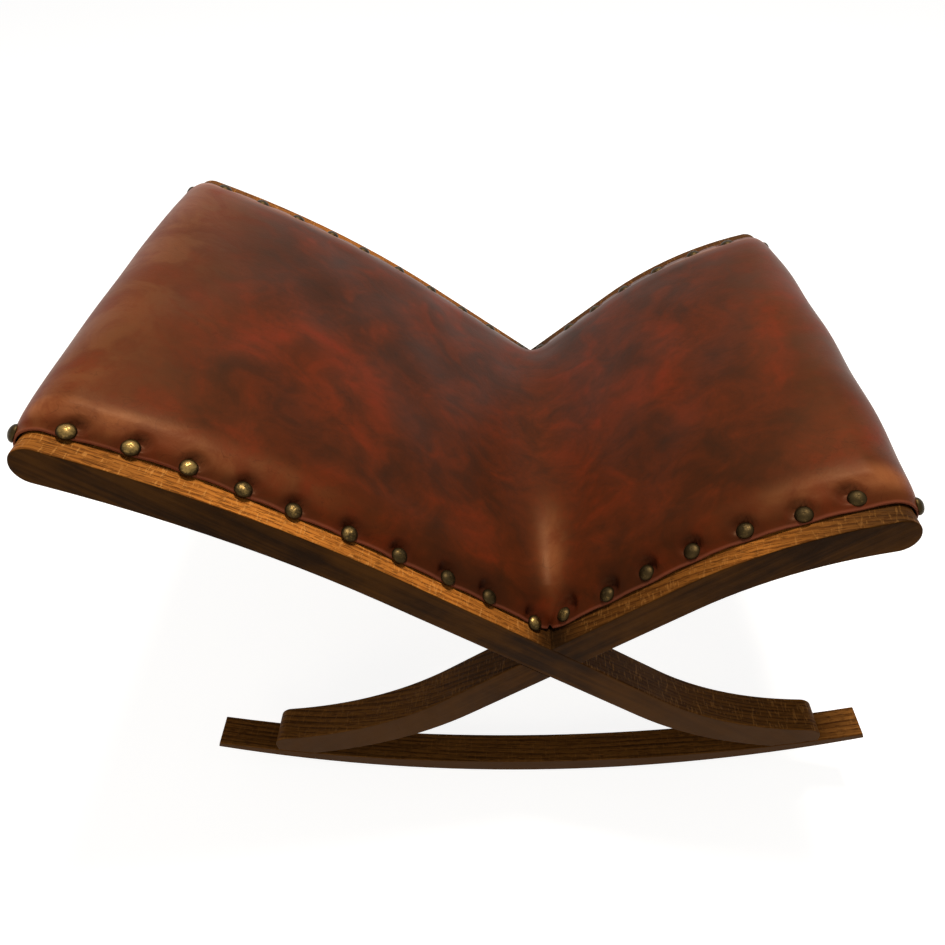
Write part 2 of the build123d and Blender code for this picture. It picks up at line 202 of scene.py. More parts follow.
def noise(tree, vector, stretch, detail=2.0, roughness=0.5, distortion=0.0):
    """Noise from 0 to 1, with features 1 / stretch metres long on all axes or on each of them."""
    if isinstance(stretch, float):
        stretch = (stretch,) * 3
    scaled = add(tree, "VectorMath", {0: vector, 1: stretch}, operation="MULTIPLY")
    return add(tree, "TexNoise", {
        "Vector": scaled, "Scale": 1.0, "Detail": detail, "Roughness": roughness,
        "Distortion": distortion})


def between(tree, value, low, high, to_low=0.0, to_high=1.0):
    """Smooth step from to_low to to_high as the value goes from low to high."""
    return add(tree, "MapRange", {
        "Value": value, "From Min": low, "From Max": high, "To Min": to_low, "To Max": to_high},
        interpolation_type="SMOOTHSTEP")


def blended(tree, share, first, second):
    """Mix of two colours."""
    return add(tree, "Mix", {0: share, 6: first, 7: second}, 2, data_type="RGBA")


# Wood grain: growth rings that lie as planes across Y, so that they show as lines along the top
# faces and hardly on the front ones, short dark pores along them and light flecks across them.
ring_wander = 0.010        # metres that a ring strays from its plane
ring_fade = 2.2            # how late in a ring its dark line comes
grain, ends, results = group(
    "wood_grain", {"Vector": "Vector", "Ring width": "Float"},
    {"Ring": "Float", "Streak": "Float", "Pore": "Float", "Fleck": "Float"})
board = ends["Vector"]
wander = noise(grain, board, (6.0, 40.0, 6.0), 3.0)
depth = summed(grain, (add(grain, "SeparateXYZ", {0: board}, "Y"), 1.0), (wander, ring_wander))
ring = maths(grain, "FRACT", maths(grain, "DIVIDE", depth, ends["Ring width"]))
pore = noise(grain, board, (150.0, 1300.0, 150.0), 1.0)
fleck = noise(grain, board, (620.0, 130.0, 620.0), 1.5)
put_out(grain, results, {
    "Ring": maths(grain, "POWER", ring, ring_fade),
    "Streak": noise(grain, board, (22.0, 620.0, 22.0), 4.0, 0.62),
    "Pore": between(grain, pore, 0.54, 0.66),
    "Fleck": between(grain, fleck, 0.56, 0.68)})


def principled(tree, colour, roughness, bump_from, bump_depth, **fixed):
    """The material's shader: linked colour, roughness and bump, and fixed values on its sockets."""
    bump = add(tree, "Bump", {"Height": bump_from, "Distance": bump_depth, "Strength": 1.0})
    inputs = {"Base Color": colour, "Roughness": roughness, "Normal": bump}
    inputs.update({label.replace("_", " "): value for label, value in fixed.items()})
    add(tree, "OutputMaterial", {"Surface": add(tree, "BsdfPrincipled", inputs)})


# The stain on the faces, along the tops, where it is worn, and at the feet, the wax, painted shade
# in the corner where the arms meet, and painted light on the tops at the feet
stain_deep = plain(34, 18, 5)
stain_face = plain(80, 49, 17)
stain_streak = plain(68, 41, 15)
# Painted light: the tops at the feet and the rockers are made paler, for the light that the seat's
# shadow keeps from them
lit_foot_top, lit_foot_deep = plain(122, 81, 37), plain(50, 29, 10)
foot_brown = plain(84, 54, 24)
pore_brown = plain(58, 30, 10)
worn_brown = plain(128, 70, 24)
worn_gold = plain(192, 118, 46)
pale_gold = plain(214, 150, 78)
waxed, wax_shine = (1.0, 0.66, 0.36, 1.0), 0.03
# Painted shade: the dark colour of the corner where the arms meet
corner_shade = plain(22, 13, 6)
corner_of_v = (0.0308, 0.0, 0.1737)   # where the arms' top faces meet, darkened there as painted shade
table_height = 0.4         # metres over the floor that the tables of wear are measured against
wood_bump = 0.00015


def stained_wood(name, fall, skew, start, wear, ring_width, flecks=0.55):
    """Stained and waxed hardwood.

    fall is the bar's slope down to the right and skew turns the growth rings about Z, both in
    degrees, and start sets where the rings begin. wear gives how far the stain is worn from
    faces that look up, at heights over the floor, and flecks how strong the pale flecks are.
    """
    made, tree = blank(name)
    spot = add(tree, "TexCoord", out="Object")
    board = laid(tree, spot, start, 0, 0, skew)
    wood = placed(tree, grain, {"Vector": board, "Ring width": ring_width})
    facing = add(tree, "SeparateXYZ", {0: add(tree, "NewGeometry", out="Normal")}, "Z")
    up = between(tree, facing, 0.30, 0.80)
    height = maths(tree, "DIVIDE", add(tree, "SeparateXYZ", {0: spot}, "Z"), table_height)
    worn = add(tree, "ValToRGB", {0: height})
    steps = worn.node.color_ramp.elements
    steps.remove(steps[1])
    for number, (level, share) in enumerate(wear):
        step = steps[0] if number == 0 else steps.new(level / table_height)
        step.position, step.color = level / table_height, (share, share, share, 1.0)

    # Front and back faces: clouds, and lines along the bar, both paler towards the feet
    patches = noise(tree, spot, 16.0, 4.0, 0.6)
    lines = noise(tree, laid(tree, spot, start, 0, -fall, 0), (7.0, 60.0, 170.0), 5.0, 0.6, 0.3)
    cloud = between(tree, summed(tree, (patches, 0.55), (lines, 0.45)), 0.36, 0.62)
    low_down = between(tree, height, 0.12, 0.40, 0.75, 0.0)
    faces = blended(tree, low_down, blended(tree, cloud, stain_face, stain_deep), foot_brown)

    # Faces that look up: rings and streaks, with the stain worn to gold beside the seat
    figure = summed(tree, (wood["Ring"], 0.30), (wood["Streak"], 0.90))
    dark = between(tree, figure, 0.35, 0.85)
    # Low down, on the feet and the rockers, the tops take paler colours: painted light where the
    # seat shades them
    streaked = blended(tree, dark, blended(tree, low_down, stain_streak, lit_foot_top),
                       blended(tree, low_down, stain_deep, lit_foot_deep))
    bare = times(tree, up, between(tree, patches, 0.25, 0.60, 0.7, 1.0), worn)
    colour = blended(tree, bare, blended(tree, up, faces, streaked),
                     blended(tree, dark, worn_gold, worn_brown))
    colour = blended(tree, times(tree, wood["Fleck"], up, flecks), colour,
                     blended(tree, 0.5, colour, pale_gold))
    colour = blended(tree, times(tree, wood["Pore"], up, 0.60), colour, pore_brown)

    # Painted shade where the arms meet, by the distance from that corner in the XZ plane
    across = add(tree, "VectorMath", {0: spot, 1: (1.0, 0.0, 1.0)}, operation="MULTIPLY")
    away = add(tree, "VectorMath", {0: across, 1: corner_of_v}, "Value", operation="DISTANCE")
    shaded_corner = times(tree, between(tree, away, 0.004, 0.030, 0.85, 0.0), up)
    colour = blended(tree, shaded_corner, colour, corner_shade)

    rough = maths(tree, "MULTIPLY_ADD", wood["Streak"], 0.2, 0.38)
    relief = summed(tree, (wood["Streak"], 1.0), (wood["Fleck"], 1.0), (wood["Pore"], -1.0))
    relief = times(tree, relief, between(tree, facing, 0.0, 0.8, 0.2, 1.0))
    principled(tree, colour, rough, relief, wood_bump,
               Specular_IOR_Level=wax_shine, Specular_Tint=waxed)
    return made


def dress(node, material):
    """Gives a CAD node's slots one material."""
    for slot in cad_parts[node].material_slots:
        slot.material = material


# Heights over the floor, and how far the stain is worn there
long_wear = ((0.0, 0.18), (0.16, 0.10), (0.18, 0.45), (0.225, 0.88), (0.30, 0.92), (0.35, 0.48))
short_wear = ((0.0, 0.14), (0.16, 0.0), (0.20, 0.06), (0.25, 0.30), (0.272, 0.52), (0.29, 0.16),
              (0.30, 0.0))
back_long_wear = ((0.0, 0.18), (0.16, 0.10), (0.235, 0.45), (0.30, 0.80), (0.36, 0.12))
back_short_wear = ((0.0, 0.14), (0.16, 0.03), (0.25, 0.10), (0.30, 0.04))
long_fall, short_fall = 37.0, -40.6          # degrees
long_rings, short_rings = 0.0034, 0.0044     # metres from ring to ring
short_flecks = 0.2
dress("front_long_member", stained_wood(
    "long_bar_front", long_fall, 0.6, (0.3, 0.4, 0.0), long_wear, long_rings))
dress("back_long_member", stained_wood(
    "long_bar_back", long_fall, -0.9, (1.7, 0.9, 0.0), back_long_wear, long_rings))
dress("front_short_member", stained_wood(
    "short_bar_front", short_fall, 9.0, (2.3, 0.2, 0.0), short_wear, short_rings, short_flecks))
dress("back_short_member", stained_wood(
    "short_bar_back", short_fall, -8.0, (4.1, 0.7, 0.0), back_short_wear, short_rings,
    short_flecks))


# ---- Rockers: two crescent laths, sawn and scraped, with the same stain ----
# The faces that look up are a little worn where the feet leave them bare. Each is fixed to two
# feet with four slotted steel screws from below.
rocker_wear = ((0.0, 0.06), (0.03, 0.06), (0.052, 0.20))
rocker_fall, rocker_rings, rocker_flecks = 2.2, 0.0042, 0.12
for side, skew, start in (("front", 0.8, (0.9, 0.3, 0.0)), ("back", -0.5, (3.3, 0.5, 0.0))):
    dress(side + "_rocker", stained_wood(
        "rocker_" + side, rocker_fall, skew, start, rocker_wear, rocker_rings, rocker_flecks))

# Tarnish: metal that is dull and brown in its hollows and clean where it is rubbed
tarnish, ends, results = group(
    "tarnish", {"Vector": "Vector", "Rubbed": "Float"}, {"Clean": "Float", "Relief": "Float"})
spots = noise(tarnish, ends["Vector"], 900.0, 4.0, 0.65)
clouds = noise(tarnish, ends["Vector"], 190.0, 3.0)
clean = summed(tarnish, (spots, 0.55), (clouds, 0.45), (ends["Rubbed"], 0.5))
put_out(tarnish, results, {"Clean": between(tarnish, clean, 0.55, 0.95), "Relief": spots})

steel_bump, steel_rubbed = 0.00006, 0.35
steel, tree = blank("dull_steel")
spot = add(tree, "TexCoord", out="Object")
metal = placed(tree, tarnish, {"Vector": spot, "Rubbed": steel_rubbed})
colour = blended(tree, metal["Clean"], plain(58, 46, 38), plain(150, 146, 140))
rough = maths(tree, "MULTIPLY_ADD", metal["Clean"], -0.25, 0.62)
principled(tree, colour, rough, metal["Relief"], steel_bump, Metallic=1.0)
for node in ("front_rocker_screws", "back_rocker_screws"):
    dress(node, steel)


# ---- Rails: three plain bars across the frames, of unstained hardwood ----
# They are tenoned into the noses and through the crossing, and only seen from below.
raw_pale, raw_dark, raw_pore = plain(176, 142, 102), plain(122, 88, 56), plain(70, 48, 30)
raw_rings, raw_tilt, raw_bump = 0.0036, 20, 0.0002


def raw_wood(name, heart):
    """Bare planed hardwood with its grain along Y, greyed by age. heart moves its rings."""
    made, tree = blank(name)
    spot = add(tree, "TexCoord", out="Object")
    board = laid(tree, spot, heart, 0, raw_tilt, 90)
    wood = placed(tree, grain, {"Vector": board, "Ring width": raw_rings})
    figure = summed(tree, (wood["Ring"], 0.5), (wood["Streak"], 0.6))
    colour = blended(tree, between(tree, figure, 0.15, 1.0), raw_pale, raw_dark)
    colour = blended(tree, times(tree, wood["Pore"], 0.6), colour, raw_pore)
    rough = maths(tree, "MULTIPLY_ADD", wood["Streak"], 0.15, 0.55)
    relief = maths(tree, "SUBTRACT", wood["Streak"], wood["Pore"])
    principled(tree, colour, rough, relief, raw_bump)
    return made


dress("long_end_rail", raw_wood("long_rail_wood", (0.2, 0.05, 0.11)))
dress("short_end_rail", raw_wood("short_rail_wood", (1.2, -0.06, 0.09)))
dress("centre_rail", raw_wood("centre_rail_wood", (2.2, 0.04, 0.12)))


# ---- Webbing: jute bands, tacked over the frames and the rails, woven through each other ----
# The cross bands run from frame to frame, and three bands along each arm pass over and under
# them. Each is a flat tube of cloth with rounded edges, carried along its line.
Bar = namedtuple("Bar", "side slope straight radius length")
long_slope, short_slope = 39.3, 38.4
long_arm = Bar(-1, long_slope, 132.0, 840.0, 362.5)
short_arm = Bar(1, short_slope, 109.0, 279.0, 251.0)
arms = (long_arm, short_arm)
half_stock = 13.5          # half the bars' thickness
half_depth = 187.5         # from the stool's middle to the frames' outer faces
crossing = (12.4, 155.5)   # x and z where the bars' centrelines cross
valley_rate = tan(radians((long_slope + short_slope) / 2))
rocker_radius = 740.0
roll = 2.220               # degrees, down on the long arm's side
shift = -3.68              # to the middle of the overall length, once rolled


def heading(arm, s):
    """An arm's slope at s along it: its own up to the bend, then less by arc over radius."""
    return radians(arm.slope) - np.maximum(s - arm.straight, 0) / arm.radius


def bar_point(arm, s, t):
    """x and z at s along an arm from the crossing and t off its centreline.

    A straight run at the arm's slope, then an arc of the bend's radius towards level.
    """
    start = radians(arm.slope)
    now = heading(arm, s)
    run = np.minimum(s, arm.straight)
    x = run * cos(start) + arm.radius * sin(start) - (arm.radius + t) * np.sin(now)
    z = run * sin(start) - arm.radius * cos(start) + (arm.radius + t) * np.cos(now)
    return crossing[0] + arm.side * x, crossing[1] + z


def standing(x, y, z):
    """Points of the stool as it stands, in metres: turned about the rockers' axis, then shifted."""
    turn = radians(-roll)
    x, y, z = np.broadcast_arrays(x, y, z)
    up = z - rocker_radius
    across = x * cos(turn) + up * sin(turn) + shift
    return np.stack([across, y, rocker_radius - x * sin(turn) + up * cos(turn)], -1) / 1000


def grid_faces(index, ring=False):
    """Quads of a grid of vertex numbers, whose rows may close into a ring."""
    if ring:
        index = np.vstack([index, index[:1]])
    corners = index[:-1, :-1], index[:-1, 1:], index[1:, 1:], index[1:, :-1]
    return np.stack(corners, -1).reshape(-1, 4)


def object_from(name, points, faces, material, uv=None, **values):
    """A smooth piece from points in metres and faces, with one number per point for each value."""
    mesh = bpy.data.meshes.new(name)
    mesh.from_pydata(points.reshape(-1, 3).tolist(), [], [tuple(face) for face in faces])
    mesh.shade_smooth()
    if uv is not None:
        corner = np.empty(len(mesh.loops), dtype=np.int32)
        mesh.loops.foreach_get("vertex_index", corner)
        mesh.uv_layers.new(name="cloth").data.foreach_set("uv", uv.reshape(-1, 2)[corner].ravel())
    for label, numbers in values.items():
        data = mesh.attributes.new(label, "FLOAT", "POINT").data
        data.foreach_set("value", np.asarray(numbers, dtype=np.float32).ravel())
    mesh.materials.append(material)
    made = bpy.data.objects.new(name, mesh)
    scene.collection.objects.link(made)
    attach(made, "root")
    return made


web_width, web_thickness = 50.0, 1.2
web_inset = 22.0           # from the frames' outer faces to a cross band's end
cross_height = 0.7         # middle of a cross band above the wood
under_height, over_height = -0.6, 1.98   # middle of an arm band where it passes under and over
long_web_shares = (0.17, 0.38, 0.59, 0.80)
short_web_shares = (0.25, 0.50, 0.75)
run_places = (-95.0, 0.0, 95.0)


def band_ring(width, thickness):
    """Outline of a band, half round at its edges: places across it and through it."""
    turn = np.radians(np.linspace(-90, 90, 5))
    side = thickness / 2
    right = width / 2 - side + side * np.cos(turn)
    flat = np.linspace(0.5, -0.5, 9)[1:-1] * (width - thickness)
    level = np.full(flat.size, side)
    wide = np.concatenate([right, flat, -right, -flat])
    deep = np.concatenate([side * np.sin(turn), level, -side * np.sin(turn), -level])
    return wide, deep


def capped(points):
    """Faces of a tube whose points are rings x places, with flat ends."""
    rings, places = points.shape[:2]
    index = np.arange(rings * places).reshape(rings, places)
    faces = [tuple(face) for face in grid_faces(index.T, ring=True)]
    faces += [tuple(index[0][::-1]), tuple(index[-1])]
    return faces


# Weave: threads over and under each other, on a UV map in metres. Each thread is the hump of a
# sine, and the product of two cosines says which of the two lies on top.
thread_wander = 0.0009
weave, ends, results = group(
    "plain_weave", {"UV": "Vector", "Thread": "Float"}, {"Height": "Float", "Thread tone": "Float"})
uneven = add(weave, "TexNoise", {"Vector": ends["UV"], "Scale": 260.0, "Detail": 2.0}, "Color")
uneven = add(weave, "VectorMath", {0: uneven, 1: (0.5, 0.5, 0.5)}, operation="SUBTRACT")
uneven = add(weave, "VectorMath", {0: uneven, "Scale": thread_wander}, operation="SCALE")
cloth = add(weave, "VectorMath", {0: ends["UV"], 1: uneven}, operation="ADD")
cloth = add(weave, "SeparateXYZ", {0: cloth}).node.outputs
phase = [times(weave, maths(weave, "DIVIDE", cloth[axis], ends["Thread"]), pi) for axis in (0, 1)]
warp, weft = [maths(weave, "ABSOLUTE", maths(weave, "SINE", turn)) for turn in phase]
over = times(weave, *[maths(weave, "COSINE", turn) for turn in phase])
over = between(weave, over, -0.3, 0.3)
put_out(weave, results, {
    "Height": add(weave, "Mix", {0: over, 2: warp, 3: weft}, 0, data_type="FLOAT"),
    "Thread tone": add(weave, "TexNoise", {"Vector": ends["UV"], "Scale": 700.0, "Detail": 3.0})})


stripe_inner, stripe_outer, stripe_edge = 0.0165, 0.0200, 0.0005   # from a band's middle


def woven(name, thread, light, dark, stripe=None):
    """Coarse plain-woven cloth. A band's has a darker stripe near each edge."""
    made, tree = blank(name)
    flat = add(tree, "UVMap", uv_map="cloth")
    cloth = placed(tree, weave, {"UV": flat, "Thread": thread})
    tone = times(tree, cloth["Height"], between(tree, cloth["Thread tone"], 0.25, 0.75, 0.65, 1.0))
    colour = blended(tree, tone, dark, light)
    if stripe:
        off_middle = maths(tree, "ABSOLUTE", add(tree, "SeparateXYZ", {0: flat}, "Y"))
        inner = between(tree, off_middle, stripe_inner, stripe_inner + stripe_edge)
        outer = between(tree, off_middle, stripe_outer - stripe_edge, stripe_outer, 1.0, 0.0)
        colour = blended(tree, times(tree, inner, outer, 0.75), colour, stripe)
    principled(tree, colour, 0.85, cloth["Height"], thread * 0.35, Sheen_Weight=0.15)
    return made


jute_thread = 0.0013
jute_light, jute_dark, jute_stripe = plain(188, 154, 104), plain(96, 70, 40), plain(92, 40, 28)
jute = woven("jute_webbing", jute_thread, jute_light, jute_dark, jute_stripe)


def band_piece(name, tubes, flats):
    """Webbing from tubes of one size, with the places of their points on the flat bands, in mm."""
    size, tube = tubes[0][..., 0].size, capped(tubes[0])
    faces = [tuple(corner + number * size for corner in face)
             for number in range(len(tubes)) for face in tube]
    made = object_from(name, np.array(tubes), faces, jute, np.array(flats) / 1000)
    return made


def cross_bands(name, arm, shares):
    """Bands from frame to frame over an arm's top edges: the outline carried straight across."""
    wide, deep = band_ring(web_width, web_thickness)
    y = np.linspace(-1, 1, 45)[:, None] * (half_depth - web_inset)
    tubes, flats = [], []
    for share in shares:
        x, z = bar_point(arm, share * arm.length + wide, half_stock + cross_height + deep)
        tubes.append(standing(x, y, z))
        flats.append(np.stack(np.broadcast_arrays(y, wide), -1))
    return band_piece(name, tubes, flats)


def eased(share):
    """Smooth step of a share from 0 to 1: three times its square less twice its cube."""
    return share * share * (3 - 2 * share)


def arm_bands(name, arm, shares):
    """Bands from the centre rail to the end rail, which pass over and under the cross bands.

    The outline is carried along the arm, and eases from one level to the other by smooth steps.
    """
    wide, deep = band_ring(web_width, web_thickness)
    first, last = half_stock * valley_rate + web_thickness, arm.length - half_stock
    s = np.linspace(first, last, 150)[:, None]
    edges = np.outer(shares, (1, 1)) * arm.length + np.array([-0.5, 0.5]) * web_width
    stops = np.concatenate([[first], edges.ravel(), [last]])
    tubes, flats = [], []
    for number, place in enumerate(run_places):
        over = [(number + crossed) % 2 for crossed in range(len(shares))]
        share = np.interp(s, stops, np.concatenate([[0], np.repeat(over, 2), [0]]))
        rise = under_height + (over_height - under_height) * eased(share)
        x, z = bar_point(arm, s, half_stock + rise + deep)
        tubes.append(standing(x, place + wide, z))
        flats.append(np.stack(np.broadcast_arrays(s, wide), -1))
    return band_piece(name, tubes, flats)


for arm, side, shares in ((long_arm, "long", long_web_shares),
                          (short_arm, "short", short_web_shares)):
    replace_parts(cross_bands(side + "_cross_bands", arm, shares), side + "_cross_webbing")
    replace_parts(arm_bands(side + "_arm_bands", arm, shares), side + "_run_webbing")

# Tacks: small blued steel, through the bands and under the two end rails
for node in ("webbing_tacks", "run_webbing_tacks", "under_tacks"):
    dress(node, steel)


# ---- Canvas: one sheet of coarse hessian, stretched over the bands and tacked with them ----
# It follows the arms' top edges down into the valley, and rises a little over the arm bands.

# A layer of the seat: places across the stool, and at each its height over the arms, its reach
# past the noses, its drop under them and the radius of its valley
Layer = namedtuple("Layer", "y up out drop radius")
underlap = 14.0            # that is turned in under the noses
nose_steps, under_steps, lap_steps, valley_steps = 22, 14, 8, 26
ends_length = 50.0         # of an arm, taken up by its nose and the valley


def valley_point(t):
    """Where the lines at t off the two arms' centrelines meet."""
    a, b = radians(long_slope), radians(short_slope)
    share = t / sin(a + b)
    return (crossing[0] + share * (cos(b) - cos(a)), crossing[1] + share * (sin(a) + sin(b)))


def arc(arm, s, radius, first, last, steps):
    """Round about the centreline at s, from one angle to another above the arm's heading."""
    angle = np.linspace(first, last, steps)[None, :] * pi / 180 + heading(arm, s)
    x, z = bar_point(arm, s, 0.0)
    return x + arm.side * radius * np.cos(angle), z + radius * np.sin(angle)


def seat_grid(layer, turned, spacing):
    """Points of one layer, in rows from front to back and columns from the long arm's tip on.

    Each row is a line round the nose, along the arm at a height over it, through a round valley,
    and along the other arm. turned adds the part that is turned under the noses. Gives x, y and
    z, and how far along its arm each point is: below 0 on the long arm and 0 in the valley.
    """
    y, up, out, drop, radius = (value[:, None] for value in np.broadcast_arrays(*layer))
    half_runs, places = [], []
    for arm in arms:
        s = arm.length + out - half_stock - up
        s_valley = (half_stock + up + radius) * valley_rate
        steps = int((arm.length - ends_length) / spacing)
        along = s + (s_valley - s) * np.linspace(0, 1, steps)[None, 1:-1]
        pieces = [arc(arm, s, half_stock + up, 0, 90, nose_steps),
                  bar_point(arm, along, half_stock + up)]
        spots = [np.broadcast_to(s, (len(y), nose_steps)), along]
        if turned:
            s_under = s + up - drop
            lap = s_under - underlap * np.linspace(1, 0, lap_steps)[None, :-1]
            below = arc(arm, s_under, half_stock + drop, -90, 0, under_steps)
            pieces = [bar_point(arm, lap, -half_stock - drop),
                      [value[:, :-1] for value in below]] + pieces
            spots = [lap, np.broadcast_to(s, (len(y), under_steps - 1))] + spots
        half_runs.append([np.concatenate([piece[axis] for piece in pieces], 1) for axis in (0, 1)])
        places.append(np.concatenate(spots, 1))
    centre = [valley_point((half_stock + up + radius)[:, 0])[axis][:, None] for axis in (0, 1)]
    first, last = -90 - long_slope, -90 + short_slope
    angle = np.linspace(first, last, valley_steps)[None, :] * pi / 180
    valley = [centre[0] + radius * np.cos(angle), centre[1] + radius * np.sin(angle)]
    x = np.concatenate([half_runs[0][0], valley[0], half_runs[1][0][:, ::-1]], 1)
    z = np.concatenate([half_runs[0][1], valley[1], half_runs[1][1][:, ::-1]], 1)
    zero = np.zeros((len(y), valley_steps))
    place = np.concatenate([-places[0], zero, places[1][:, ::-1]], 1)
    return x, np.broadcast_to(y, x.shape), z, place


def shell_faces(rows, columns):
    """Faces of a closed shell: the top's rows, then the underside's in reverse, and both ends."""
    index = np.arange(2 * rows * columns).reshape(2 * rows, columns)
    top, under = index[:rows], index[rows:][::-1]
    faces = [*grid_faces(index, ring=True)]
    for column, flip in ((0, 1), (columns - 1, -1)):
        over, below = top[:, column], under[:, column]
        strip = np.stack([over[:-1], over[1:], below[1:], below[:-1]], -1)
        faces += [*strip[:, ::flip]]
    return faces


canvas_thickness = 0.5
canvas_lift = 1.85         # its underside over the wood, at its edges
canvas_rise = 1.4          # and so much more over the arm bands
canvas_slope = 30.0        # distance in from the edge over which it rises
canvas_turn = 1.5          # radius at the bottom of the valley
canvas_inset = 23.5        # from the frames' outer faces
half_canvas = half_depth - canvas_inset


def canvas_height(y):
    """Underside of the canvas over the wood: a straight rise in from each edge, then level."""
    return canvas_lift + canvas_rise * np.clip((half_canvas - np.abs(y)) / canvas_slope, 0, 1)


def layered(top, under, spacing):
    """Points and faces of a closed piece between two layers of the seat."""
    surfaces = [seat_grid(layer, False, spacing)[:3] for layer in (top, under)]
    points = np.concatenate([standing(*surfaces[0]), standing(*surfaces[1])[::-1]])
    return points, shell_faces(*surfaces[0][0].shape)


y = np.linspace(-1, 1, 61) * half_canvas
lift = canvas_height(y)
top = Layer(y, lift + canvas_thickness, lift + canvas_thickness, canvas_lift, canvas_turn)
under = Layer(y, lift, lift, canvas_lift, canvas_turn + canvas_thickness)
points, faces = layered(top, under, spacing=5.0)
middle_row = points[len(y) // 2]
run = np.cumsum(np.linalg.norm(np.diff(middle_row, axis=0, prepend=middle_row[:1]), axis=-1))
uv = np.stack(np.broadcast_arrays(run, np.concatenate([y, y[::-1]])[:, None] / 1000), -1)
hessian_thread = 0.0009
hessian_light, hessian_dark = plain(196, 168, 122), plain(112, 84, 50)
hessian = woven("hessian", hessian_thread, hessian_light, hessian_dark)
canvas = object_from("hessian_canvas", points, faces, hessian, uv)
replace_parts(canvas, "canvas")


# ---- Stuffing: hair and cotton wadding, built up to a firm crown over each arm ----
# It is a closed pad between the canvas and the leather, and thins out before the nails.
lip = 12.4                 # from the frames' outer faces to the leather's edge
half_seat = half_depth - lip
crown, end_crown, valley_radius = 18.0, 7.0, 26.0
leather_thickness = 1.6
nose_gap = 0.1             # between the leather and the noses' undersides
# From the leather's edge to mid seat: place, height over the arms, reach past the noses and
# roundness of the valley, each as a share of the value at mid seat
place_shares = (0.0, 0.017, 0.034, 0.050, 0.067, 0.115, 0.20, 0.35, 0.62, 1.0)
crown_shares = (0.10, 0.167, 0.235, 0.262, 0.300, 0.52, 0.74, 0.89, 0.975, 1.0)
end_shares = (0.257, 0.43, 0.605, 0.67, 0.74, 0.83, 0.90, 0.95, 0.985, 1.0)
valley_shares = (0.15, 0.16, 0.17, 0.18, 0.20, 0.30, 0.48, 0.70, 0.92, 1.0)


def smooth_table(places, values, wanted):
    """Curve through a table of rising places that never overshoots it.

    The slope at each entry is the harmonic mean of its neighbours' slopes, and cubics join them.
    """
    places, values = np.array(places), np.array(values)
    gap = np.diff(places)
    rate = np.diff(values) / gap
    steady = rate[1:] * rate[:-1] > 0
    inner = np.where(steady, 2 * rate[1:] * rate[:-1] / (rate[1:] + rate[:-1] + 1e-12), 0)
    slope = np.concatenate([rate[:1], inner, [0.0]])
    cell = np.clip(np.searchsorted(places, wanted) - 1, 0, len(gap) - 1)
    u = (wanted - places[cell]) / gap[cell]
    return ((1 + 2 * u) * (1 - u) ** 2 * values[cell]
            + u * (1 - u) ** 2 * gap[cell] * slope[cell]
            + u * u * (3 - 2 * u) * values[cell + 1]
            + u * u * (u - 1) * gap[cell] * slope[cell + 1])


def seat_layer(y):
    """The leather's outer surface at places across the stool."""
    share = 1 - np.abs(y) / half_seat
    return Layer(y, crown * smooth_table(place_shares, crown_shares, share),
                 end_crown * smooth_table(place_shares, end_shares, share),
                 nose_gap + leather_thickness,
                 valley_radius * smooth_table(place_shares, valley_shares, share))


pad_gap = 0.5              # between the pad and the leather
pad_edge = 12.0            # from the leather's edge to the pad's
pad_lift, pad_least = 0.6, 0.2           # over the canvas's underside, and its least thickness
edge_thinning, thinning_width = 4.5, 24.0    # at its edges, under the nails' dents
pad_drop = 2.6
drop = leather_thickness + pad_gap
y = np.linspace(-1, 1, 41) * (half_seat - pad_edge)
full = seat_layer(y)
lift = canvas_height(y) + pad_lift
thin = edge_thinning * np.clip(1 - (half_seat - np.abs(y) - pad_edge) / thinning_width, 0, 1)
top = Layer(y, np.maximum(full.up - drop - thin, lift + pad_least), full.out - drop, pad_drop,
            full.radius + drop)
under = Layer(y, lift, lift, pad_drop, canvas_turn)
points, faces = layered(top, under, spacing=6.0)
wadding, tree = blank("hair_wadding")
spot = add(tree, "TexCoord", out="Object")
fibres = noise(tree, spot, (160.0, 160.0, 900.0), 5.0, 0.7, 1.5)
hair_dark, hair_light, hair_bump = plain(96, 78, 58), plain(190, 170, 138), 0.001
colour = blended(tree, fibres, hair_dark, hair_light)
principled(tree, colour, 0.9, fibres, hair_bump, Sheen_Weight=0.3)
pad = object_from("stuffing_pad", points, faces, wadding)
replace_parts(pad, "stuffing")


# ---- Leather: one hide stretched over the pad, turned in at its edges and under the noses ----
# It is pulled down hard at every nail and swells a little between them. The colour is a
# hand-rubbed oxblood, clouded from brown-black to red.
long_nail_shares = (0.073, 0.184, 0.277, 0.380, 0.477, 0.578, 0.664, 0.753, 0.842, 0.934)
long_nail_insets = (14.0, 16.6, 16.2, 15.8, 15.4, 15.4, 16.6, 18.0, 18.6, 17.0)
short_nail_shares = (0.105, 0.250, 0.376, 0.505, 0.636, 0.767, 0.883)
short_nail_insets = (19.8, 18.5, 19.8, 19.4, 19.0, 17.6, 19.8)
nail_rows = ((long_arm, long_nail_shares, long_nail_insets),
             (short_arm, short_nail_shares, short_nail_insets))
nail_bite = 0.6            # how far a head sits below the leather's own height


def head_lift(inset):
    """Height of a nail's head over the wood: a little under the leather's surface."""
    return crown * np.interp((inset - lip) / half_seat, place_shares, crown_shares) - nail_bite


def bell(away, width, power=2):
    """Bell curve: e to the minus (away over width) to a power, which is 1 where away is 0."""
    return np.exp(-(away / width) ** power)


def strongest(aways, bells, power=2):
    """The highest of some bell curves, each with its own height and width."""
    return np.max([height * bell(away, width, power)
                   for away, (height, width) in zip(aways, bells)], 0)


fullness = 5.8, 2.8        # of the swelling behind the front and the back nails
swell_start, swell_fade = 8.0, 28.0


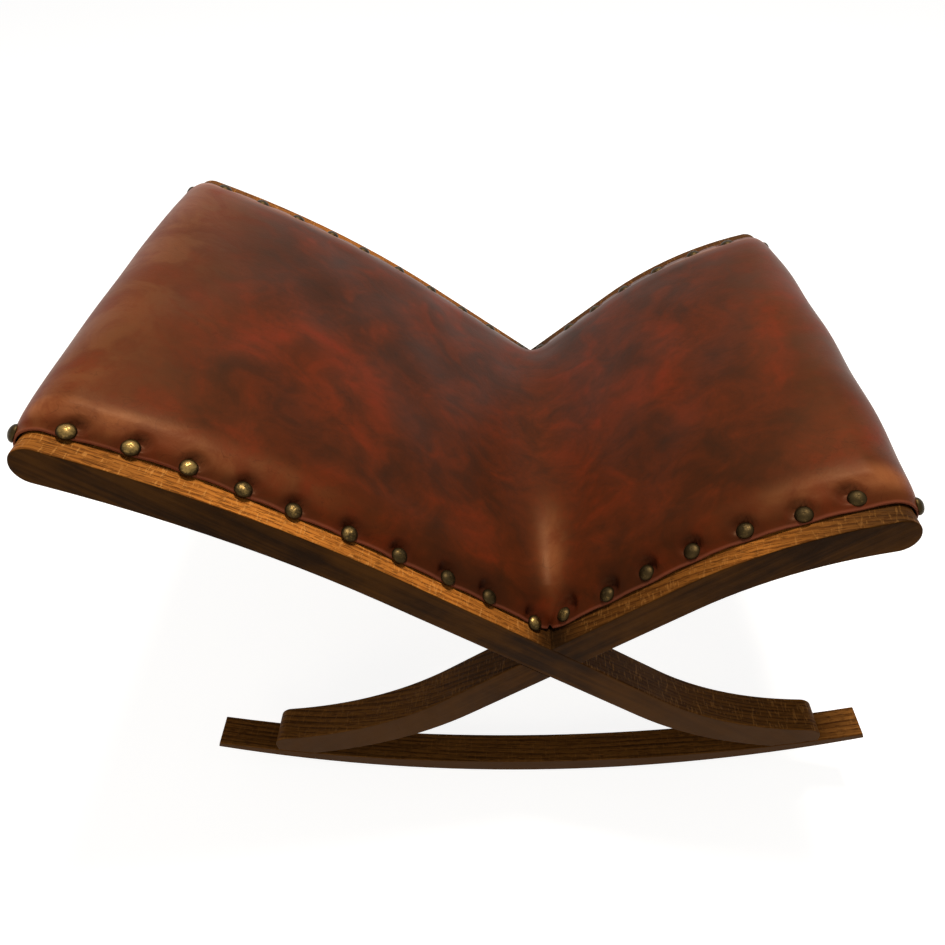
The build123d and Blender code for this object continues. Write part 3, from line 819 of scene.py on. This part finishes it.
def full_layer(y):
    """The leather's outer surface as it swells behind the nails.

    The swelling over seat_layer is a hump that starts at the edge and fades towards mid seat:
    one bell curve taken from 1, times a wider bell curve.
    """
    layer = seat_layer(y)
    inward = half_seat - np.abs(y)
    hump = np.where(y < 0, *fullness) * (1 - bell(inward, swell_start)) * bell(inward, swell_fade)
    return layer._replace(up=layer.up + hump)


def runs_of(x, z):
    """How far round the seat each column is, from the long arm's end."""
    step = np.hypot(np.diff(x, axis=1), np.diff(z, axis=1)).mean(0)
    return np.concatenate([[0], np.cumsum(step)])


def valley_of(runs, places):
    """How far round the seat the valley's middle is: the mean of its columns."""
    return runs[np.abs(places) < 1e-6].mean()


soft_width, soft_reach = 25.0, 90.0
soft_start, soft_inward = 3.0, 20.0      # in from the edge, where it begins and grows full


def softened(x, z, runs, places, inward):
    """Rounds a seat grid's valley: rows near it are averaged along their length by a bell curve."""
    near = bell(runs[:, None] - runs, soft_width) * np.gradient(runs)
    near /= near.sum(1, keepdims=True)
    share = bell(runs - valley_of(runs, places), soft_reach, 4)
    share = share * np.clip((inward - soft_start) / soft_inward, 0, 1)
    return x + (x @ near.T - x) * share, z + (z @ near.T - z) * share


def nail_measures(places, runs):
    """Each nail's distance round the seat, distance in from the leather's edge, and head height."""
    found = []
    for arm, shares, insets in nail_rows:
        on_arm = (np.sign(places) == arm.side) & (np.abs(places) < arm.length - half_stock - 1)
        order = np.argsort(places[on_arm])
        columns = places[on_arm][order], runs[on_arm][order]
        for share, inset in zip(shares, insets):
            at = np.interp(arm.side * share * arm.length, *columns)
            found.append((at, inset - lip, head_lift(inset)))
    return np.array(found).T


def outward(x, z):
    """Unit normals of a seat grid in the XZ plane."""
    along_x, along_z = np.gradient(x, axis=1), np.gradient(z, axis=1)
    size = np.hypot(along_x, along_z)
    return -along_z / size, along_x / size


def inflated(points, pins, pressure, most):
    """How far cloth moves, in metres, when it is pinned by shares and pressed out from below.

    A short simulation of a grid of points, without gravity. No point moves further than most.
    """
    mesh = bpy.data.meshes.new("cloth_trial")
    index = np.arange(pins.size).reshape(pins.shape)
    mesh.from_pydata(points.reshape(-1, 3).tolist(), [], grid_faces(index).tolist())
    trial = bpy.data.objects.new("cloth_trial", mesh)
    scene.collection.objects.link(trial)
    held = trial.vertex_groups.new(name="held")
    levels = np.round(pins * 10).astype(int)
    for level in range(1, 11):
        held.add(index[levels == level].tolist(), level / 10, "REPLACE")
    cloth = trial.modifiers.new("cloth", "CLOTH")
    setting = cloth.settings
    setting.quality, setting.mass = 6, 0.3
    setting.tension_stiffness = setting.compression_stiffness = 30.0
    setting.shear_stiffness, setting.bending_stiffness = 15.0, 0.6
    setting.vertex_group_mass, setting.pin_stiffness = "held", 1.0
    setting.use_pressure, setting.uniform_pressure_force = True, pressure
    setting.effector_weights.gravity = 0.0
    cloth.collision_settings.use_collision = False
    cloth.point_cache.frame_start, cloth.point_cache.frame_end = 1, simulated_frames
    for number in range(1, simulated_frames + 1):
        scene.frame_set(number)
    shaped = trial.evaluated_get(bpy.context.evaluated_depsgraph_get()).to_mesh()
    result = np.empty(points.size)
    shaped.vertices.foreach_get("co", result)
    bpy.data.objects.remove(trial)
    scene.frame_set(1)
    moved = result.reshape(points.shape) - points
    length = np.linalg.norm(moved, axis=-1, keepdims=True)
    return moved * np.minimum(1, most / np.maximum(length, 1e-9))


spread_width = 0.85        # of the coarse grid's spacing


def spread(values, old_rows, old_columns, rows, columns):
    """Values of a grid carried to a finer one: averages weighted by a bell curve on each side."""
    weights = []
    for old, new in ((old_rows, rows), (old_columns, columns)):
        gap = np.gradient(old)
        near = bell(new[:, None] - old, spread_width * gap) * gap
        weights.append(near / near.sum(1, keepdims=True))
    return np.einsum("ij,jkc,lk->ilc", weights[0], values, weights[1])


def both_sides(from_edge):
    """Places across the seat from one edge to the other, the same on both sides of its middle."""
    return np.concatenate([from_edge - half_seat, (half_seat - from_edge)[:-1][::-1]])


def to_nails(runs, inward):
    """Each grid point's offsets from every nail, and its nearest nail and the distance to it."""
    off, deep = runs[None, :, None] - nail_runs, inward[..., None] - nail_ins
    reach = np.sqrt(off ** 2 + deep ** 2)
    return off, deep, reach.argmin(-1), reach.min(-1)


# A coarse sheet first: pulled down at the nails, held at its edges, and pressed out between them.
# It is held in part by the pad, at its ends and along the valley: how firmly, and how far
simulated_frames = 14
pad_pressure, most_move = 3.0, 0.007
pull_radius = 4.4          # round each nail, where the leather is held down
middle_hold, middle_start, middle_width = 0.5, 26.0, 34.0
end_hold, end_width = 0.9, 55.0
valley_hold, valley_width = 0.3, 26.0
coarse_rows = both_sides(np.concatenate([np.arange(0, 30, 2.4), np.linspace(31.5, half_seat, 19)]))
x_coarse, y_coarse, z_coarse, place = seat_grid(
    full_layer(coarse_rows), turned=False, spacing=4.0)
coarse_runs = runs_of(x_coarse, z_coarse)
seat_length, valley_run = coarse_runs[-1], valley_of(coarse_runs, place[0])
nail_runs, nail_ins, nail_lifts = nail_measures(place[0], coarse_runs)
inward = half_seat - np.abs(y_coarse)
x_coarse, z_coarse = softened(x_coarse, z_coarse, coarse_runs, place[0], inward)
_, _, nearest, reach = to_nails(coarse_runs, inward)
pulled = reach < pull_radius
press = np.where(pulled, nail_lifts[nearest] - full_layer(coarse_rows).up[:, None], 0.0)
normal_x, normal_z = outward(x_coarse, z_coarse)
start = standing(x_coarse, y_coarse, z_coarse)
pinned = standing(x_coarse + normal_x * press, y_coarse, z_coarse + normal_z * press)
pins = middle_hold * eased(np.clip((inward - middle_start) / middle_width, 0, 1))
to_end = np.minimum(coarse_runs, seat_length - coarse_runs)
pins = np.maximum(pins, end_hold * bell(to_end, end_width, 4))
pins = np.maximum(pins, valley_hold * bell(coarse_runs - valley_run, valley_width))
pins[pulled | (inward < 0.5)] = 1.0
pins[:, [0, 1, -2, -1]] = 1.0
moved = inflated(pinned, pins, pad_pressure, most_move) + (pinned - start)

# The fine sheet: its edges are rounded on a quarter circle, and it moves as the coarse one did
edge_round = 0.8
turn = np.radians(np.linspace(8, 90, 6))
near = np.concatenate([edge_round * (1 - np.cos(turn)), edge_round + np.arange(1.2, 46.0, 1.5)])
far = np.linspace(near[-1] + 2.5, half_seat, 31)
y = both_sides(np.concatenate([near, far]))
body = full_layer(y)
edge_in = np.minimum(half_seat - np.abs(y), edge_round)
rounding = edge_round - np.sqrt(np.clip(edge_round ** 2 - (edge_round - edge_in) ** 2, 0, None))
top = Layer(y, body.up - rounding, body.out - rounding, body.drop - rounding, body.radius)
under = Layer(y, body.up - leather_thickness + rounding, body.out - leather_thickness + rounding,
              nose_gap + rounding, body.radius + leather_thickness)
x_top, y_top, z_top, place = seat_grid(top, turned=True, spacing=2.0)
x_under, y_under, z_under, _ = seat_grid(under, turned=True, spacing=2.0)
turned_under = lap_steps + under_steps - 2     # columns of the part under each nose
run = runs_of(x_top, z_top)
run = run - run[turned_under]
inward = half_seat - np.abs(y_top)
x_top, z_top = softened(x_top, z_top, run, place[0], inward)
x_under, z_under = softened(x_under, z_under, run, place[0], inward)
move = spread(moved, coarse_rows, coarse_runs, y, np.clip(run, 0, seat_length)) * 1000
over_seat = np.clip((run + 6) / 12, 0, 1) * np.clip((seat_length + 6 - run) / 12, 0, 1)
within = np.clip((inward - edge_round) / 2.5, 0, 1) * over_seat
normal_x, normal_z = outward(x_top, z_top)
turn = radians(roll)       # back to the stool as it was drawn
shift_x = (move[..., 0] * cos(turn) - move[..., 2] * sin(turn)) * within
shift_z = (move[..., 0] * sin(turn) + move[..., 2] * cos(turn)) * within
shift_y = move[..., 1] * within
height = body.up[:, None] + shift_x * normal_x + shift_z * normal_z

# Small lumps in the pad, the press of each nail's head, and the wood under it all
lump_height, lump_inward = 0.16, 45.0
head_gap = 0.25            # between a head's base and the leather
head_reach, head_fade = 8.0, 3.0
least_height, least_rise = 1.8, 2.4      # over the wood at the edge, and so much more further in
rng = np.random.default_rng(12)
lumps = sum(np.sin(run[None, :] * rng.uniform(0.03, 0.11) + y_top * rng.uniform(-0.07, 0.07)
                   + rng.uniform(0, 2 * pi)) for _ in range(9))
press = lump_height * lumps * np.clip(inward / lump_inward, 0, 1)
off, deep, nearest, reach = to_nails(run, inward)
held = eased(np.clip((head_reach - reach) / head_fade, 0, 1))
press += (nail_lifts[nearest] + head_gap - height) * held * within
lowest = least_height + least_rise * np.clip((inward - 6.0) / 4.0, 0, 1)
press = np.maximum(press, lowest - height)

# The turned edge lifts a little between the nails and wanders, and the two ends are stuffed full
edge_curl, curl_width = 0.9, 3.0
end_bells = (1.2, 30.0), (4.0, 30.0)     # height and width of the swelling, long end first
swell_inward = 72.0
edge_depth = 5.0
curl = edge_curl * bell(inward, curl_width) * np.clip((reach - 6.0) / 6.0, 0, 1) * over_seat
press = np.where(inward > edge_round + 2.5, press, np.clip(press, -3, 3)) + curl
end_swell = strongest((run, seat_length - run), end_bells)
press = press + end_swell * (1 - bell(inward, swell_inward)) * over_seat
shift_x, shift_z = shift_x + normal_x * press, shift_z + normal_z * press
# Drawn in a little everywhere, more near the long end in front, and most at the valley
wander = (0.5 + 0.5 * np.sin(run / 23.0) * np.sin(run / 41.0 + 1.0)
          + 2.4 * bell(run - 95.0, 45.0) * (y[:, None] < 0) + 5.0 * bell(run - valley_run, 9.0))
shift_y = shift_y - np.sign(y_top) * wander * np.exp(-inward / edge_depth) * over_seat
points = np.concatenate([
    standing(x_top + shift_x, y_top + shift_y, z_top + shift_z),
    standing(x_under + shift_x, y_under + shift_y, z_under + shift_z)[::-1]])


# Masks for the colour: painted shade, darker in the dimples at the nails and along the back edge,
# a paler cut rim, and painted highlights, a pale tan sheen at the ends, on the front shoulder and
# in the valley. Each sheen has its strength and its width
dimple_long, dimple_wide, dimple_inset = 12.0, 13.0, 1.5
end_sheens = (0.46, 66.0), (0.14, 60.0)
shoulder_sheens = (0.90, 165.0), (0.80, 105.0)
shoulder_inset, shoulder_width = 15.0, 9.5
valley_sheen_strength, valley_sheen_width, valley_sheen_inset, valley_sheen_length = 0.55, 11.0, 55.0, 34.0
back_shade, back_inset, back_width = 0.8, 6.0, 13.0
rim_width = 1.6


def both_faces(mask):
    """A mask of the outer surface, for the outer and the under one."""
    mask = np.broadcast_to(mask, inward.shape)
    return np.concatenate([mask, mask[::-1]])


# Painted shade: darker in the dimples round the nails and along the back edge
from_nail = np.sqrt((off / dimple_long) ** 2 + ((deep - dimple_inset) / dimple_wide) ** 2)
dimple = np.exp(-from_nail ** 1.5).max(-1)
back_edge_shade = back_shade * bell(inward - back_inset, back_width) * (y_top > 0)
hollow_mask = np.clip(np.maximum(dimple * 1.15, back_edge_shade), 0, 1) ** 1.3
rim_mask = np.clip(1 - inward / rim_width, 0, 1)
# Painted highlights: a pale tan sheen at the ends, on the front shoulder and in the valley
to_ends = np.abs(run), np.abs(seat_length - run)
end_sheen = strongest(to_ends, end_sheens)
shoulder_sheen = strongest(to_ends, shoulder_sheens, 4)
shoulder_sheen = shoulder_sheen * bell(inward - shoulder_inset, shoulder_width)
valley_sheen = valley_sheen_strength * bell(run - valley_run - 4, valley_sheen_width) * (y_top < 0)
valley_sheen = valley_sheen * bell(inward - valley_sheen_inset, valley_sheen_length)
handled = np.maximum(np.maximum(shoulder_sheen, end_sheen), valley_sheen)

# Where the polish was rubbed red (+) or left brown (-): middle, radius and amount
hand_rubbed = (((-0.120, -0.05, 0.305), 0.085, 0.03), ((-0.20, -0.01, 0.35), 0.06, 0.02),
               ((0.102, 0.07, 0.26), 0.07, 0.04), ((0.16, 0.0, 0.29), 0.09, 0.02),
               ((-0.16, 0.10, 0.33), 0.12, -0.06), ((0.095, -0.07, 0.255), 0.06, -0.07),
               ((-0.01, -0.05, 0.225), 0.06, -0.06), ((-0.25, 0.02, 0.37), 0.08, -0.05),
               ((0.20, 0.14, 0.31), 0.09, -0.06))
# The hide's colour from its darkest clouds to its reddest
oxblood = ((0.34, plain(46, 23, 10)), (0.44, plain(58, 26, 10)), (0.52, plain(72, 30, 11)),
           (0.60, plain(88, 33, 12)), (0.70, plain(102, 34, 15)))
# The pale and deep tan of the painted sheen
sheen_pale_tan, sheen_deep_tan = plain(142, 84, 48), plain(106, 54, 29)
# The painted shade's brown, and the colours of the cracks and the cut rim
hollow_brown, crack_brown, rim_pink = plain(40, 16, 10), plain(34, 15, 9), plain(150, 84, 62)
hide_shine, hide_tint, hide_bump = 0.06, (1.0, 0.56, 0.28, 1.0), 0.00008

hide, tree = blank("oxblood_leather")
spot = add(tree, "TexCoord", out="Object")
hollow, rim, sheen_share = [add(tree, "Attribute", out="Fac", attribute_name=mask)
                       for mask in ("hollow", "rim", "handled")]
wide = noise(tree, spot, 10.0, 3.0, 0.55, 0.6)
cloudy = noise(tree, spot, 28.0, 5.0, 0.6, 0.9)
flecks = noise(tree, spot, 110.0, 4.0, 0.6, 0.4)
mottle = summed(tree, (wide, 0.45), (cloudy, 0.42), (flecks, 0.13))
for middle, radius, amount in hand_rubbed:
    away = add(tree, "VectorMath", {0: spot, 1: middle}, "Value", operation="DISTANCE")
    mottle = maths(tree, "ADD", mottle, between(tree, away, 0.0, radius, amount, 0.0))
colour = add(tree, "ValToRGB", {0: mottle})
stops = colour.node.color_ramp.elements
for stop, (position, shade) in zip((stops[0], stops[1]), (oxblood[0], oxblood[-1])):
    stop.position, stop.color = position, shade
for position, shade in oxblood[1:-1]:
    stops.new(position).color = shade
# Painted highlights: the tan sheen at the ends, on the front shoulder and in the valley
sheen_tan = blended(tree, between(tree, cloudy, 0.35, 0.65), sheen_pale_tan, sheen_deep_tan)
colour = blended(tree, sheen_share, colour, sheen_tan)
# Painted shade in the dimples round the nails and along the back edge
colour = blended(tree, times(tree, hollow, 0.5), colour, hollow_brown)
cracks = noise(tree, spot, 34.0, 3.0, 0.6, 1.2)
cracks = maths(tree, "ABSOLUTE", maths(tree, "SUBTRACT", cracks, 0.5))
cracks = between(tree, cracks, 0.001, 0.008, 0.22, 0.0)
cracks = times(tree, cracks, between(tree, wide, 0.45, 0.60))
colour = blended(tree, cracks, colour, crack_brown)
colour = blended(tree, times(tree, rim, 0.5), colour, rim_pink)
pebble = add(tree, "TexVoronoi", {"Vector": spot, "Scale": 900.0}, feature="SMOOTH_F1")
creases = noise(tree, spot, 260.0, 5.0, 0.65)
rough = between(tree, cloudy, 0.3, 0.7, 0.35, 0.41)
principled(tree, colour, rough, summed(tree, (pebble, 0.4), (creases, 1.0)), hide_bump,
           Specular_IOR_Level=hide_shine, Specular_Tint=hide_tint)

cover = object_from("leather_seat", points, shell_faces(*x_top.shape), hide,
                    hollow=both_faces(hollow_mask), rim=both_faces(rim_mask),
                    handled=both_faces(handled))
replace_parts(cover, "leather_cover")


# ---- Nails: antique brass upholstery nails, driven along the leather's edge ----
# Each has a domed, slightly hammered head over a thin shank, and leans outwards because the
# leather is thicker on its inner side.
nail_radius, dome_height, dome_rim = 5.6, 3.8, 0.15
shank_radius, shank_length, shank_point = 0.9, 11.0, 1.8
head_base = -0.25          # underside of the head, which is hollowed a little from its rim
nail_lean, lean_spread = 10.0, 4.0       # degrees
hammered, out_of_round = 0.018, 0.02
segments = 30
swept = np.radians(np.linspace(0, 90, 11))
pole = 0.001               # radius of the closed ends
shank = [(pole, -shank_length), (shank_radius, shank_point - shank_length),
         (shank_radius, head_base), (4.9, head_base), (nail_radius - 0.12, -0.1)]
dome = np.stack([nail_radius * np.cos(swept),
                 dome_rim + (dome_height - dome_rim) * np.sin(swept)], -1)
dome[-1, 0] += pole
profile = np.concatenate([shank, dome])
turn = np.linspace(0, 2 * pi, segments, endpoint=False)
ring_x, ring_y = profile[:, :1] * np.cos(turn), profile[:, :1] * np.sin(turn)
ring_z = np.broadcast_to(profile[:, 1:], ring_x.shape)
crest = np.clip(ring_z / dome_height, 0, 1)
index = np.arange(ring_x.size).reshape(ring_x.shape)
nail_faces = [*grid_faces(index.T, ring=True), index[0], index[-1][::-1]]

brass_deep, brass_bright, brass_bump = plain(52, 41, 23), plain(142, 114, 64), 0.00012
brass, tree = blank("antique_brass")
spot = add(tree, "TexCoord", out="Object")
crown_share, rubbed = [add(tree, "Attribute", out="Fac", attribute_name=mask)
                       for mask in ("crest", "rubbed")]
rubbed = times(tree, rubbed, between(tree, crown_share, 0.25, 0.9, 0.0, 0.8))
metal = placed(tree, tarnish, {"Vector": spot, "Rubbed": rubbed})
colour = blended(tree, metal["Clean"], brass_deep, brass_bright)
rough = maths(tree, "MULTIPLY_ADD", metal["Clean"], -0.26, 0.48)
principled(tree, colour, rough, metal["Relief"], brass_bump, Metallic=1.0)
rng = np.random.default_rng(5)


def nails(name, spots, replaced):
    """One piece of nails at spots.

    A spot is the middle of a head's base, the angle of its axis from upright in the XZ plane, and
    how far the head is rubbed bright. Each nail is its profile spun about its axis, with three
    shallow facets that grow towards the crest and a slight wave in its height. It is then turned
    to its axis and moved to its spot.
    """
    points, polish, faces = [], [], []
    for number, (x, y, z, angle, bright) in enumerate(spots):
        facets = 1 + hammered * np.sin(3 * turn + rng.uniform(0, 6))[None, :] * crest
        lean = radians(nail_lean + rng.uniform(-lean_spread, lean_spread)) * (-np.sign(y))
        wave = 1 + out_of_round * np.sin(2 * turn + rng.uniform(0, 6))
        own = np.stack([ring_x * facets, ring_y * facets, ring_z * wave], -1)
        out = np.array([sin(angle) * cos(lean), -sin(lean), cos(angle) * cos(lean)])
        side = np.cross((0.0, 1.0, 0.0), out)
        side /= np.linalg.norm(side)
        local = own @ np.stack([side, np.cross(out, side), out])
        points.append(standing(x + local[..., 0], y + local[..., 1], z + local[..., 2]))
        polish.append(np.full(crest.shape, bright))
        faces += [face + number * index.size for face in nail_faces]
    made = object_from(name, np.array(points), faces, brass,
                       crest=np.array([crest] * len(spots)), rubbed=np.array(polish))
    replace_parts(made, replaced)


# How far each front nail is rubbed bright, from the valley to the end
long_polish = (0.6, 0.1, 0.15, 0.2, 0.25, 0.3, 0.45, 0.8, 0.8, 0.75)
short_polish = (0.45, 0.1, 0.05, 0.0, 0.05, 0.0, 0.0)


def edge_spots(side):
    """Where the nails stand along both arms, in front (-1) or at the back (+1)."""
    spots = []
    for (arm, shares, insets), polish in zip(nail_rows, (long_polish, short_polish)):
        for share, inset, bright in zip(shares, insets, polish):
            s = share * arm.length
            x, z = bar_point(arm, s, half_stock + head_lift(inset))
            spots.append((x, side * (half_depth - inset), z, -arm.side * heading(arm, s),
                          bright if side < 0 else 0.0))
    return spots


# The nails on the noses: two on each, in front and at the back
tip_nail_inset = 18.0
tip_nail_swing = 12.0      # degrees above the arm's own heading at its end
tip_polish = 0.1
nails("front_nails", edge_spots(-1), "front_seat_nails")
nails("back_nails", edge_spots(1), "back_seat_nails")
tip_spots = []
for arm in arms:
    s = arm.length - half_stock
    x, z = bar_point(arm, s, 0.0)
    rise = heading(arm, s) + radians(tip_nail_swing)
    reach = half_stock + head_lift(tip_nail_inset)
    tip_spots += [(x + arm.side * reach * cos(rise), side * (half_depth - tip_nail_inset),
                   z + reach * sin(rise), arm.side * (pi / 2 - rise), tip_polish)
                  for side in (-1, 1)]
nails("nose_nails", tip_spots, "tip_nails")
